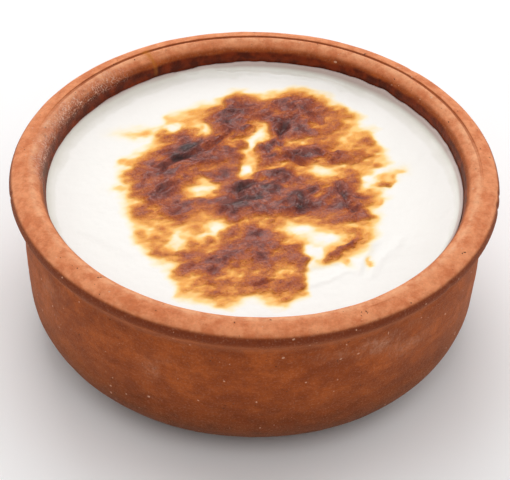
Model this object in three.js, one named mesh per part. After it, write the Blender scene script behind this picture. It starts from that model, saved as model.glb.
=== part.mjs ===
// A baked rice pudding in its small hand-thrown terracotta bowl.
// Millimetres, +Z up. The origin is on the surface the bowl stands on, under the middle of its rim.
// Two solids: the bowl, and the pudding that fills it to a little under the rim.
import * as THREE from "three";

// The bowl's outside, as radii from its axis and heights above its foot.
const RIM_RADIUS = 60;
const HEIGHT = 46.6;
const FOOT_RADIUS = 37.6;
const HEEL_HEIGHT = 16.1; // top of the big round between foot and wall
const HEEL_RADIUS = 55.4;
const BELLY_RADIUS = 56.3; // widest part of the wall
const BELLY_HEIGHT = 30;
const NECK_RADIUS = 56.1;
const NECK_HEIGHT = 36.8; // where the wall starts to turn out into the lip
const FLARE_HEIGHT = 38.4; // where the turn would be if it were sharp

// The lip: a round nose outside, a thin groove on the crown, and a bead that falls to the inside.
const NOSE_RADIUS = 2.6;
const NOSE_DROP = 3.1; // centre of the nose, below the crown
const NOSE_TOP_ANGLE = THREE.MathUtils.degToRad(75);
const NOSE_UNDER_ANGLE = THREE.MathUtils.degToRad(-50);
const GROOVE_RADIUS = 55.5;
const GROOVE_HALF_WIDTH = 0.45;
const GROOVE_DEPTH = 0.45;
const BEAD_WIDTH = 3.5;
const BEAD_FALL = 4.8;

// The inside of the bowl.
const CAVITY_RADIUS = 50.9; // inner wall where the pudding meets it
const CAVITY_HEEL_HEIGHT = 19;
const CAVITY_HEEL_RADIUS = 49.6;
const CAVITY_FLOOR_RADIUS = 33;
const FLOOR_THICKNESS = 6.2;

// The pudding: its level, the milk film that creeps up the wall, and the swell of the baked skin.
const PUDDING_LEVEL = 39.9;
const PUDDING_GAP = 0.3; // clearance that keeps the two solids apart
const FILM_RISE = 0.9;
const FILM_WIDTH = 3;
const FILM_SIDE = THREE.MathUtils.degToRad(50); // the side where the film climbs highest
const SKIN_SWELL = 0.5;
const SKIN_SWELL_RADIUS = 34;
const SKIN_SWELL_CENTRE = new THREE.Vector2(0, 4);
const SKIN_SWELL_POWER = 4; // how flat the top of the swell is
const FOLD_HEIGHT = 0.22;
const FOLD_SPACING = 15;
const FOLD_SLANT = 0.3; // how much the folds lean across the bowl
const FOLD_WANDER = 45; // length over which a fold bends to and fro

// How far the thrown bowl is from a true round.
const OVAL = 0.3; // growth of the radius towards the wider axis
const OVAL_SIDE = THREE.MathUtils.degToRad(-20);
const RIM_WAVE = 0.25; // rise and fall of the rim
const RIM_WAVE_SIDE = THREE.MathUtils.degToRad(35);
const FOOT_SHIFT = -0.4; // sideways offset of the foot from the middle of the rim

// How finely the rounds are divided.
const TURN_STEPS = 72;
const HEEL_STEPS = 9;
const WALL_STEPS = 4;
const FLARE_STEPS = 4;
const NOSE_STEPS = 6;
const BEAD_STEPS = 6;
const SKIN_RINGS = 14;

const terracotta = new THREE.MeshStandardMaterial({
  color: 0xa85c36,
  roughness: 0.85,
  metalness: 0,
});
const bakedMilk = new THREE.MeshStandardMaterial({
  color: 0xf4efe2,
  roughness: 0.45,
  metalness: 0,
});

// Points along part of an ellipse, from one angle to another, both ends included.
function ellipsePoints(centre, radii, fromAngle, toAngle, steps) {
  const points = [];
  for (let i = 0; i <= steps; i += 1) {
    const angle = THREE.MathUtils.lerp(fromAngle, toAngle, i / steps);
    const along = new THREE.Vector2(Math.cos(angle), Math.sin(angle));
    points.push(along.multiply(radii).add(centre));
  }
  return points;
}

// The underside of the round nose, where the flare of the wall meets it.
function noseUndersidePoint() {
  return new THREE.Vector2(
    RIM_RADIUS - NOSE_RADIUS + NOSE_RADIUS * Math.cos(NOSE_UNDER_ANGLE),
    HEIGHT - NOSE_DROP + NOSE_RADIUS * Math.sin(NOSE_UNDER_ANGLE),
  );
}

// The outer wall from the middle of the foot, round the heel and up the neck to the lip.
function outerWallPoints() {
  const heelCentre = new THREE.Vector2(FOOT_RADIUS, HEEL_HEIGHT);
  const heelRadii = new THREE.Vector2(HEEL_RADIUS - FOOT_RADIUS, HEEL_HEIGHT);
  const wall = new THREE.SplineCurve([
    new THREE.Vector2(HEEL_RADIUS, HEEL_HEIGHT),
    new THREE.Vector2(BELLY_RADIUS, BELLY_HEIGHT),
    new THREE.Vector2(NECK_RADIUS, NECK_HEIGHT),
  ]);
  const flare = new THREE.QuadraticBezierCurve(
    new THREE.Vector2(NECK_RADIUS, NECK_HEIGHT),
    new THREE.Vector2(NECK_RADIUS, FLARE_HEIGHT),
    noseUndersidePoint(),
  );
  return [
    new THREE.Vector2(0, 0),
    ...ellipsePoints(heelCentre, heelRadii, -Math.PI / 2, 0, HEEL_STEPS),
    ...wall.getPoints(WALL_STEPS).slice(1),
    ...flare.getPoints(FLARE_STEPS).slice(1, -1),
  ];
}

// The lip from its round nose over the grooved crown to the foot of the bead.
function lipPoints() {
  const noseCentre = new THREE.Vector2(RIM_RADIUS - NOSE_RADIUS, HEIGHT - NOSE_DROP);
  const noseRadii = new THREE.Vector2(NOSE_RADIUS, NOSE_RADIUS);
  const grooveOuter = GROOVE_RADIUS + GROOVE_HALF_WIDTH;
  const grooveInner = GROOVE_RADIUS - GROOVE_HALF_WIDTH;
  const beadCentre = new THREE.Vector2(grooveInner, HEIGHT - BEAD_FALL);
  const beadRadii = new THREE.Vector2(BEAD_WIDTH, BEAD_FALL);
  return [
    ...ellipsePoints(noseCentre, noseRadii, NOSE_UNDER_ANGLE, NOSE_TOP_ANGLE, NOSE_STEPS),
    new THREE.Vector2(grooveOuter, HEIGHT),
    new THREE.Vector2(GROOVE_RADIUS, HEIGHT - GROOVE_DEPTH),
    ...ellipsePoints(beadCentre, beadRadii, Math.PI / 2, Math.PI, BEAD_STEPS),
  ];
}

// The cavity from the middle of its floor up to the pudding's level, moved inwards by a clearance.
function cavityPoints(clearance) {
  const heelCentre = new THREE.Vector2(CAVITY_FLOOR_RADIUS, CAVITY_HEEL_HEIGHT);
  const heelRadii = new THREE.Vector2(
    CAVITY_HEEL_RADIUS - CAVITY_FLOOR_RADIUS - clearance,
    CAVITY_HEEL_HEIGHT - FLOOR_THICKNESS - clearance,
  );
  return [
    new THREE.Vector2(0, FLOOR_THICKNESS + clearance),
    ...ellipsePoints(heelCentre, heelRadii, -Math.PI / 2, 0, HEEL_STEPS),
    new THREE.Vector2(CAVITY_RADIUS - clearance, PUDDING_LEVEL),
  ];
}

// A closed profile turned about the upright axis.
function turned(profile) {
  return new THREE.LatheGeometry(profile, TURN_STEPS).rotateX(Math.PI / 2);
}

// Moves every point of a true round to where the thrown bowl has it: a slightly oval rim that
// rises and falls twice in a turn, over a foot that sits a little to one side.
function handThrown(geometry) {
  const position = geometry.getAttribute("position");
  const point = new THREE.Vector3();
  for (let i = 0; i < position.count; i += 1) {
    point.fromBufferAttribute(position, i);
    const angle = Math.atan2(point.y, point.x);
    const rise = point.z / HEIGHT;
    const reach = Math.hypot(point.x, point.y) / RIM_RADIUS;
    const growth = 1 + (rise * OVAL * Math.cos(2 * (angle - OVAL_SIDE))) / RIM_RADIUS;
    const wave = rise * reach * reach * RIM_WAVE * Math.cos(2 * (angle - RIM_WAVE_SIDE));
    const shift = FOOT_SHIFT * (1 - rise);
    position.setXYZ(i, point.x * growth + shift, point.y * growth, point.z + wave);
  }
  return geometry;
}

// Height of the pudding's skin above its level: the film at the wall, the swell of the browned
// middle, and long shallow folds that run across the swell.
function skinHeight(x, y) {
  const toWall = CAVITY_RADIUS - PUDDING_GAP - Math.hypot(x, y);
  const filmShare = 0.5 + 0.5 * Math.cos(Math.atan2(y, x) - FILM_SIDE);
  const film = FILM_RISE * filmShare * Math.exp(-toWall / FILM_WIDTH);
  const fromMiddle = Math.hypot(x - SKIN_SWELL_CENTRE.x, y - SKIN_SWELL_CENTRE.y);
  const swell = Math.exp(-((fromMiddle / SKIN_SWELL_RADIUS) ** SKIN_SWELL_POWER));
  const across = (2 * Math.PI * (y + FOLD_SLANT * x)) / FOLD_SPACING;
  const along = (2 * Math.PI * x) / FOLD_WANDER;
  const folds = FOLD_HEIGHT * Math.sin(across + Math.sin(along));
  return film + swell * (SKIN_SWELL + folds);
}

// The bowl: one closed solid with a lip, a wall, a flat foot and an open cavity.
function makeBowl() {
  const profile = [...outerWallPoints(), ...lipPoints(), ...cavityPoints(0).reverse()];
  const bowl = new THREE.Mesh(handThrown(turned(profile)), terracotta);
  bowl.name = "bowl";
  return bowl;
}

// The pudding: a solid that fills the cavity up to its skin.
function makePudding() {
  const filled = cavityPoints(PUDDING_GAP);
  const skinRadius = CAVITY_RADIUS - PUDDING_GAP;
  const skin = [];
  for (let ring = 1; ring <= SKIN_RINGS; ring += 1) {
    const radius = skinRadius * (1 - ring / SKIN_RINGS);
    skin.push(new THREE.Vector2(radius, PUDDING_LEVEL));
  }
  const geometry = turned([...filled, ...skin]);
  const position = geometry.getAttribute("position");
  const profileCount = filled.length + skin.length;
  for (let i = 0; i < position.count; i += 1) {
    if (i % profileCount >= filled.length - 1) {
      position.setZ(i, PUDDING_LEVEL + skinHeight(position.getX(i), position.getY(i)));
    }
  }
  const pudding = new THREE.Mesh(handThrown(geometry), bakedMilk);
  pudding.name = "pudding";
  return pudding;
}

const ricePudding = new THREE.Group();
ricePudding.add(makeBowl(), makePudding());

export default ricePudding;
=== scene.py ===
"""Looks of a baked rice pudding in its terracotta bowl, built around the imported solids.

Shapes are worked out in millimetres and written into meshes in metres.
"""

import itertools
import logging
import math
from dataclasses import dataclass
from enum import Enum
from typing import Sequence

import bpy
import numpy as np
from mathutils import Matrix, Vector


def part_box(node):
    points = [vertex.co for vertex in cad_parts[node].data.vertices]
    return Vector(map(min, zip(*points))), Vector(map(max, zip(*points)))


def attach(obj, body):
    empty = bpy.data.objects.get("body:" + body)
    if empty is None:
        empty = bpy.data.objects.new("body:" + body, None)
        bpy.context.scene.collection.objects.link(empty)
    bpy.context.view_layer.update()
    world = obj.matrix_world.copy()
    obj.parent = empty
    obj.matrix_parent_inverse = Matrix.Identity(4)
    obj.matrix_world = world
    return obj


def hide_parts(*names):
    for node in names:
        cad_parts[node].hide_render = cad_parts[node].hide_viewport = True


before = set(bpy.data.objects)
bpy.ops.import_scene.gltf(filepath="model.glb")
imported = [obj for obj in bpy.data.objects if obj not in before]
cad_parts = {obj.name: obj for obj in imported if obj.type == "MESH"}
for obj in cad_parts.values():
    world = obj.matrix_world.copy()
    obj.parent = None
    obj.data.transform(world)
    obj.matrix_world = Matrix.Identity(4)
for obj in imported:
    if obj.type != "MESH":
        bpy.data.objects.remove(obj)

LOG = logging.getLogger("rice_pudding")
MM = 0.001
Colour = tuple[float, float, float]
Span = tuple[float, float]
Socket = bpy.types.NodeSocket
Setting = tuple[str, float | tuple[float, float, float, float]]


class Slot(Enum):
    """The record's material slots."""

    CLAY = "terracotta"
    MILK = "baked_milk"


class Node(Enum):
    """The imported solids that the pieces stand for."""

    BOWL = "bowl"
    PUDDING = "pudding"


def linear(red: int, green: int, blue: int) -> Colour:
    """Turns a display colour from 0 to 255 into the linear one that a shader takes.

    Args:
        red: Red of the display colour.
        green: Green of the display colour.
        blue: Blue of the display colour.

    Returns:
        The linear colour, each channel from 0 to 1.
    """
    share = np.array([red, green, blue]) / 255.0
    value = np.where(share <= 0.04045, share / 12.92, ((share + 0.055) / 1.055) ** 2.4)
    return tuple(float(v) for v in value)


def eased(value: np.ndarray, low: float, high: float) -> np.ndarray:
    """Climbs smoothly from 0 at low to 1 at high, as 3t^2 - 2t^3.

    Args:
        value: Where to work it out.
        low: Value at which the climb starts.
        high: Value at which it ends.

    Returns:
        The share climbed, from 0 to 1.
    """
    share = np.clip((value - low) / (high - low), 0.0, 1.0)
    return share * share * (3.0 - 2.0 * share)


class SolidNoise:
    """Smooth noise in space, blended between the seeded numbers of a repeating lattice."""

    SIZE = 48

    def __init__(self, seed: int) -> None:
        """Fills the lattice with numbers from -1 to 1."""
        self.lattice = np.random.default_rng(seed).uniform(-1.0, 1.0, (self.SIZE,) * 3)

    def once(self, point: Sequence[np.ndarray]) -> np.ndarray:
        """Blends the eight lattice numbers round each point with the weights 6t^5 - 15t^4 + 10t^3.

        Args:
            point: The three coordinates, in lattice steps.

        Returns:
            Noise from -1 to 1.
        """
        axes = np.broadcast_arrays(*point)
        cells = [np.floor(axis).astype(int) for axis in axes]
        shares = [axis - cell for axis, cell in zip(axes, cells)]
        fades = [t * t * t * (t * (t * 6.0 - 15.0) + 10.0) for t in shares]
        total = np.zeros(axes[0].shape)
        for corner in itertools.product((0, 1), repeat=3):
            weight = np.ones(axes[0].shape)
            for bit, fade in zip(corner, fades):
                weight = weight * (fade if bit else 1.0 - fade)
            index = tuple((cell + bit) % self.SIZE for cell, bit in zip(cells, corner))
            total += weight * self.lattice[index]
        return total

    def layered(
        self, x: np.ndarray, y: np.ndarray, z: np.ndarray | float, step: float, layers: int
    ) -> np.ndarray:
        """Sums layers of noise, each half as strong and half as wide as the one before.

        Args:
            x: First coordinate, in millimetres.
            y: Second coordinate, in millimetres.
            z: Third coordinate, in millimetres.
            step: Width of the widest lumps, in millimetres.
            layers: How many layers are summed.

        Returns:
            Noise of about -1 to 1.
        """
        total = 0.0
        for layer in range(layers):
            scale = 2.0**layer / step
            shift = 7.3 * layer
            point = (x * scale + shift, y * scale + shift, z * scale + shift)
            total = total + self.once(point) * 0.5**layer
        return total / 1.5


@dataclass(frozen=True)
class Grain:
    """One kind of unevenness: the seed of its noise, the width of its lumps, layers and strength."""

    seed: int
    step: float
    layers: int
    strength: float = 1.0

    def at(self, x: np.ndarray, y: np.ndarray, z: np.ndarray | float = 0.0) -> np.ndarray:
        """Strength times the noise at these places."""
        return self.strength * SolidNoise(self.seed).layered(x, y, z, self.step, self.layers)


def elliptic(centre: Sequence[float], radii: Sequence[float], angles: Span, count: int) -> np.ndarray:
    """Points on an ellipse between two angles in degrees: centre plus radii times cosine and sine."""
    angle = np.radians(np.linspace(*angles, count))
    return np.column_stack([centre[0] + radii[0] * np.cos(angle), centre[1] + radii[1] * np.sin(angle)])


def bent(start: np.ndarray, pull: np.ndarray, stop: np.ndarray, count: int) -> np.ndarray:
    """Points on a quadratic Bezier curve: (1-t)^2 start + 2t(1-t) pull + t^2 stop."""
    share = np.linspace(0.0, 1.0, count)[:, None]
    return (1 - share) ** 2 * start + 2 * share * (1 - share) * pull + share**2 * stop


def straight(start: Sequence[float], stop: Sequence[float], count: int) -> np.ndarray:
    """Evenly spaced points from start to stop, both ends included."""
    return np.linspace(np.asarray(start, float), np.asarray(stop, float), count)


def turned_from(angle: np.ndarray, side: float) -> np.ndarray:
    """The angle from one side to each other angle, from minus to plus half a turn."""
    return (angle - side + np.pi) % (2 * np.pi) - np.pi


def ring_quads(rows: int, columns: int) -> np.ndarray:
    """Faces between neighbouring rings of points, each ring closed on itself.

    Args:
        rows: Number of rings.
        columns: Points on each ring.

    Returns:
        Four point indices a face, facing outwards where the rings climb anticlockwise.
    """
    row = np.arange(rows - 1)[:, None] * columns
    column = np.arange(columns)[None, :]
    after = (column + 1) % columns
    corners = (row + column, row + after, row + columns + after, row + columns + column)
    return np.stack(corners, axis=-1).reshape(-1, 4)


def mesh_piece(
    name: str, points: np.ndarray, faces: Sequence[np.ndarray], values: dict[str, np.ndarray]
) -> bpy.types.Object:
    """Makes a smooth mesh object at the origin.

    Args:
        name: Name of the piece.
        points: Its points in millimetres, one a row.
        faces: Arrays of point indices, one face a row, each array with its own corner count.
        values: Numbers kept on the points, by attribute name.

    Returns:
        The new object, linked to the scene.
    """
    corners = np.concatenate([block.ravel() for block in faces])
    sizes = np.concatenate([np.full(len(block), block.shape[1]) for block in faces])
    starts = np.concatenate([[0], np.cumsum(sizes)[:-1]])
    mesh = bpy.data.meshes.new(name)
    mesh.vertices.add(len(points))
    mesh.vertices.foreach_set("co", (points * MM).astype(np.float32).ravel())
    mesh.loops.add(len(corners))
    mesh.loops.foreach_set("vertex_index", corners.astype(np.int32))
    mesh.polygons.add(len(sizes))
    mesh.polygons.foreach_set("loop_start", starts.astype(np.int32))
    mesh.polygons.foreach_set("use_smooth", np.ones(len(sizes), bool))
    for key, value in values.items():
        attribute = mesh.attributes.new(key, "FLOAT", "POINT")
        attribute.data.foreach_set("value", value.astype(np.float32).ravel())
    mesh.update(calc_edges=True)
    mesh.validate()
    piece = bpy.data.objects.new(name, mesh)
    bpy.context.scene.collection.objects.link(piece)
    return piece


@dataclass(frozen=True)
class Throwing:
    """How far the thrown bowl is from a true round, the same for the bowl and what fills it."""

    rim_radius: float
    height: float
    oval: float = 0.3
    oval_side: float = math.radians(-20)
    rim_wave: float = 0.25
    rim_wave_side: float = math.radians(35)
    crest_inset: float = 4.05
    foot_shift: float = -0.4

    @classmethod
    def fitted(cls, low: Vector, high: Vector) -> "Throwing":
        """Finds the true round's size from the box of the thrown bowl.

        The oval widens one way as much as it narrows the other, so the radius is the mean of
        the two half widths. The top of the box is the lip's crest with its wave.

        Args:
            low: Lowest corner of the bowl's box, in metres.
            high: Highest corner of the bowl's box, in metres.

        Returns:
            The throwing that fits the box.
        """
        rim_radius = (high.x - low.x + high.y - low.y) / 4.0 / MM
        crest = (rim_radius - cls.crest_inset) / rim_radius
        return cls(rim_radius, (high.z - low.z) / MM - cls.rim_wave * crest**2)

    def place(self, x: np.ndarray, y: np.ndarray, z: np.ndarray) -> np.ndarray:
        """Moves points of a true round to where the thrown bowl has them.

        The radius grows with the cosine of twice the angle, the height waves the same way with
        the square of the radius, and the foot sits to one side.

        Args:
            x: Sideways coordinates, in millimetres.
            y: Coordinates to the back, in millimetres.
            z: Heights, in millimetres.

        Returns:
            The moved points, one a row.
        """
        x, y, z = np.broadcast_arrays(x, y, z)
        angle = np.arctan2(y, x)
        rise = z / self.height
        reach = np.hypot(x, y) / self.rim_radius
        growth = 1.0 + rise * self.oval * np.cos(2.0 * (angle - self.oval_side)) / self.rim_radius
        wave = rise * reach**2 * self.rim_wave * np.cos(2.0 * (angle - self.rim_wave_side))
        shift = self.foot_shift * (1.0 - rise)
        moved = (x * growth + shift, y * growth, z + wave)
        return np.column_stack([axis.ravel() for axis in moved])


@dataclass(frozen=True)
class Cavity:
    """The inside of the bowl, which the pudding fills."""

    heel_height: float = 19.0
    heel_radius: float = 49.6
    floor_radius: float = 33.0
    floor_thickness: float = 6.2
    level_radius: float = 50.9
    level: float = 39.9

    def points(self, clearance: float, heel_count: int) -> np.ndarray:
        """The cavity's profile from the edge of its flat floor up to the level of the pudding.

        Args:
            clearance: How far the profile is moved inwards, in millimetres.
            heel_count: Points on the round between floor and wall.

        Returns:
            Points of radius and height, one a row.
        """
        radii = (
            self.heel_radius - self.floor_radius - clearance,
            self.heel_height - self.floor_thickness - clearance,
        )
        heel = elliptic((self.floor_radius, self.heel_height), radii, (-90.0, 0.0), heel_count)
        top = (self.level_radius - clearance, self.level)
        return np.vstack([heel, straight(heel[-1], top, 5)[1:]])


@dataclass(frozen=True)
class Dent:
    """A small knock or chip in the lip: where it is round the bowl and along its section."""

    angle: float
    radius: float
    width: float
    depth: float


@dataclass(frozen=True)
class Scuff:
    """A rubbed, paler patch of the wall: its angle, height, half sizes and strength."""

    angle: float
    height: float
    length: float
    width: float
    strength: float

    def cover(self, angle: np.ndarray, z: np.ndarray, reach: float) -> np.ndarray:
        """Strength times a bell curve of the distance round the wall and up it.

        Args:
            angle: Angles about the axis.
            z: Heights.
            reach: Radius of the wall, in millimetres.

        Returns:
            The cover at each point.
        """
        along = turned_from(angle, math.radians(self.angle)) * reach
        distance = (along / self.length) ** 2 + ((z - self.height) / self.width) ** 2
        return self.strength * np.exp(-distance)


@dataclass(frozen=True)
class TerracottaBowl:
    """A thrown bowl with a grooved, turned-out lip, as a profile turned about the upright axis."""

    throwing: Throwing
    cavity: Cavity
    foot_radius: float = 37.6
    heel_height: float = 16.1
    heel_radius: float = 55.4
    belly_radius: float = 56.3
    belly_height: float = 30.0
    neck_radius: float = 56.1
    neck_height: float = 36.8
    flare_height: float = 38.4
    nose_radius: float = 2.6
    nose_drop: float = 3.1
    nose_angles: Span = (-50.0, 75.0)
    groove_radius: float = 55.5
    groove_half_width: float = 0.45
    groove_depth: float = 0.45
    bead_width: float = 3.5
    bead_fall: float = 4.8
    turn_steps: int = 640
    dents: tuple[Dent, ...] = (
        Dent(angle=-8.0, radius=59.6, width=0.9, depth=0.35),
        Dent(angle=-3.5, radius=59.9, width=0.7, depth=0.3),
        Dent(angle=-38.0, radius=59.8, width=1.1, depth=0.3),
        Dent(angle=118.0, radius=53.0, width=0.8, depth=0.5),
        Dent(angle=12.0, radius=56.0, width=0.7, depth=0.25),
        Dent(angle=-172.0, radius=59.7, width=0.8, depth=0.25),
        Dent(angle=-120.0, radius=59.9, width=0.9, depth=0.2),
        Dent(angle=48.0, radius=59.6, width=0.8, depth=0.25),
    )
    scuffs: tuple[Scuff, ...] = (
        Scuff(angle=-54.0, height=33.0, length=8.0, width=2.4, strength=0.8),
        Scuff(angle=-47.0, height=29.0, length=6.0, width=3.0, strength=0.5),
        Scuff(angle=-66.0, height=34.0, length=7.0, width=1.6, strength=0.5),
        Scuff(angle=-112.0, height=27.0, length=5.0, width=3.4, strength=0.4),
        Scuff(angle=-150.0, height=31.0, length=6.0, width=6.0, strength=0.3),
        Scuff(angle=60.0, height=28.0, length=9.0, width=4.0, strength=0.4),
        Scuff(angle=160.0, height=24.0, length=10.0, width=4.0, strength=0.4),
    )
    groove_side: float = math.radians(82.0)
    groove_trace: float = 0.02
    drip_angle: float = math.radians(120.5)
    drip_length: float = 4.5
    drip_spread: float = 0.9
    drip_tip: float = 0.25
    drip_sway: float = 0.5
    drip_heights: Span = (41.0, 42.4)
    spill_side: float = math.radians(157.0)
    spill_fade: Span = (0.84, 0.96)
    spill_heights: Span = (42.6, 44.6)
    crest_width: float = 0.9
    cap_radius: float = 6.0
    lumps: Grain = Grain(3, 22.0, 3, 0.16)
    knobs: Grain = Grain(5, 4.5, 3, 0.05)
    finger_rings: Grain = Grain(9, 2.6, 3, 0.07)
    ring_squeeze: float = 0.06
    rubbing: Grain = Grain(25, 4.0, 3)
    glaze_drop: float = 2.4
    glaze_margin: Grain = Grain(21, 5.0, 3, 0.5)
    margin_radius: float = 40.0
    spill: Grain = Grain(31, 3.0, 3)

    def profile(self) -> np.ndarray:
        """The section from the edge of the flat foot, over the lip, to the edge of the inner floor.

        Returns:
            Points of radius and height, one a row.
        """
        rim, top = self.throwing.rim_radius, self.throwing.height
        foot = straight((self.cap_radius, 0.0), (self.foot_radius, 0.0), 6)
        heel_radii = (self.heel_radius - self.foot_radius, self.heel_height)
        heel = elliptic((self.foot_radius, self.heel_height), heel_radii, (-90.0, 0.0), 36)
        heights = np.linspace(self.heel_height, self.neck_height, 28)
        known = [self.heel_height, self.belly_height, self.neck_height]
        curve = np.polyfit(known, [self.heel_radius, self.belly_radius, self.neck_radius], 2)
        wall = np.column_stack([np.polyval(curve, heights), heights])
        nose_centre = (rim - self.nose_radius, top - self.nose_drop)
        nose = elliptic(nose_centre, (self.nose_radius,) * 2, self.nose_angles, 18)
        pull = np.array([self.neck_radius, self.flare_height])
        flare = bent(wall[-1], pull, nose[0], 12)
        outer, inner = (self.groove_radius + side * self.groove_half_width for side in (1, -1))
        crown = straight(nose[-1], (outer, top), 7)
        groove_radii = (self.groove_half_width, self.groove_depth)
        groove = elliptic((self.groove_radius, top), groove_radii, (0.0, -180.0), 7)
        bead_centre = (inner, top - self.bead_fall)
        bead = elliptic(bead_centre, (self.bead_width, self.bead_fall), (90.0, 180.0), 22)
        filled = self.cavity.points(0.0, 8)[::-1]
        wet_wall = straight(bead[-1], filled[0], 6)
        floor = straight(filled[-1], (self.cap_radius, filled[-1, 1]), 4)
        parts = [foot, heel[1:], wall[1:], flare[1:], nose[1:], crown[1:], groove[1:], bead[1:],
                 wet_wall[1:], filled[1:], floor[1:]]
        return np.vstack(parts)

    def relief(self, x: np.ndarray, y: np.ndarray, z: np.ndarray, angle: np.ndarray) -> np.ndarray:
        """How far the surface stands out from the turned profile, in millimetres.

        Broad lumps and finger rings from noise that is stretched round the bowl, less the dents,
        each a bell curve of the distance to its middle.

        Args:
            x: Sideways coordinates.
            y: Coordinates to the back.
            z: Heights.
            angle: Angles about the axis.

        Returns:
            The relief at each point.
        """
        rings = self.finger_rings.at(x * self.ring_squeeze, y * self.ring_squeeze, z)
        above_foot = eased(z, 0.3, 4.0)
        relief = (self.lumps.at(x, y, z) + self.knobs.at(x, y, z) + rings) * above_foot
        radius = np.hypot(x, y)
        on_lip = eased(z, self.throwing.height - 6.5, self.throwing.height - 4.5)
        for dent in self.dents:
            along = turned_from(angle, math.radians(dent.angle)) * dent.radius
            across = np.hypot(along, radius - dent.radius)
            relief -= on_lip * dent.depth * np.exp(-((across / dent.width) ** 2))
        return relief

    def grooved(self, radius: np.ndarray, z: np.ndarray, angle: np.ndarray) -> np.ndarray:
        """How much of the groove's depth is left at each of its points: all at the back, less in front. The
        same share paints shade into the groove.

        Args:
            radius: Distances from the axis on the turned profile.
            z: Heights on the turned profile.
            angle: Angles about the axis.

        Returns:
            The share of the depth, and 0 away from the groove.
        """
        beside = np.abs(radius - self.groove_radius) / self.groove_half_width
        in_groove = (beside < 1.0) & (z < self.throwing.height) & (z > self.throwing.height - 1.0)
        facing = eased(np.cos(angle - self.groove_side), 0.0, 0.75)
        return in_groove * (self.groove_trace + (1.0 - self.groove_trace) * facing)

    def scuffed(self, z: np.ndarray, angle: np.ndarray) -> np.ndarray:
        """Where the wall is rubbed pale: the scuffs, broken up by noise, from 0 to 1.

        Args:
            z: Heights.
            angle: Angles about the axis.

        Returns:
            The share of each point that is rubbed.
        """
        cover = sum(scuff.cover(angle, z, self.belly_radius) for scuff in self.scuffs)
        x, y = self.belly_radius * np.cos(angle), self.belly_radius * np.sin(angle)
        return np.clip(cover * eased(self.rubbing.at(x, y, z), -0.6, 0.4), 0.0, 1.0)

    def painted_lip_shading(self, profile: np.ndarray, normal: np.ndarray) -> np.ndarray:
        """How far each ring lies on the outer face of the lip under its crown, where shade is painted dark.

        Args:
            profile: Radius and height of each ring.
            normal: Outward direction of each ring.

        Returns:
            The share for each ring, one a row.
        """
        face = eased(profile[:, :1], self.neck_radius + 0.3, self.neck_radius + 2.4)
        face = face * (profile[:, 1:] > self.neck_height)
        return face * (1.0 - eased(normal[:, 1:], 0.45, 0.7)) * eased(normal[:, 1:], -0.7, 0.0)

    def crest(self, profile: np.ndarray) -> np.ndarray:
        """How near each ring is to the crest of the bead, which is rubbed and carries a painted highlight,
        as a bell curve of the distance.

        Args:
            profile: Radius and height of each ring.

        Returns:
            The share for each ring, one a row.
        """
        beside = (profile[:, :1] - self.groove_radius + self.crest_width) / self.crest_width
        return np.exp(-(beside**2)) * (profile[:, 1:] > self.throwing.height - 1.5)

    def dripped(self, radius: np.ndarray, z: np.ndarray, angle: np.ndarray) -> np.ndarray:
        """The dried caramel drip that runs from the groove down the bead, from 0 to 1.

        It narrows on the way down like a wedge, its middle wandering with the radius.

        Args:
            radius: Distances from the axis.
            z: Heights.
            angle: Angles about the axis.

        Returns:
            The share of each point that the drip covers.
        """
        fall = np.clip((self.groove_radius + 0.8 - radius) / self.drip_length, 0.0, 1.0)
        wander = self.drip_sway * np.sin(3.0 * fall + 1.0)
        along = turned_from(angle, self.drip_angle) * radius - wander
        width = self.drip_spread * (1.0 - fall) + self.drip_tip
        ends = eased(self.groove_radius + 1.2 - radius, 0.0, 0.8) * eased(z, *self.drip_heights)
        return np.exp(-((along / width) ** 2)) * ends

    def glaze(self, radius: np.ndarray, z: np.ndarray, angle: np.ndarray) -> np.ndarray:
        """Where the dark, baked-on milk glaze covers the inside, from 0 to 1.

        It starts on the inner face of the bead, at a margin that wanders with noise.

        Args:
            radius: Distances from the axis.
            z: Heights.
            angle: Angles about the axis.

        Returns:
            The share of the clay that it covers.
        """
        drop = self.throwing.height - z
        x, y = np.cos(angle) * self.margin_radius, np.sin(angle) * self.margin_radius
        margin = self.glaze_drop + self.glaze_margin.at(x, y, z * 0.3)
        inside = eased(self.groove_radius - radius, 0.2, 0.9)
        return inside * eased(drop, margin - 0.35, margin + 0.45)

    def wetness(self, radius: np.ndarray, z: np.ndarray, angle: np.ndarray) -> np.ndarray:
        """Where the bead is glossy with spilt milk and where painted glints go: broken patches on the back
        left, from 0 to 1.

        Args:
            radius: Distances from the axis.
            z: Heights.
            angle: Angles about the axis.

        Returns:
            The share of each point that is glossy.
        """
        side = eased(np.cos(angle - self.spill_side), *self.spill_fade)
        x, y = np.cos(angle) * radius, np.sin(angle) * radius
        broken = 0.6 + 0.4 * eased(self.spill.at(x, y, z), -0.3, 0.3)
        inside = eased(self.groove_radius + 0.6 * side - radius, 0.0, 3.0)
        return side * broken * inside * eased(z, *self.spill_heights)

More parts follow.
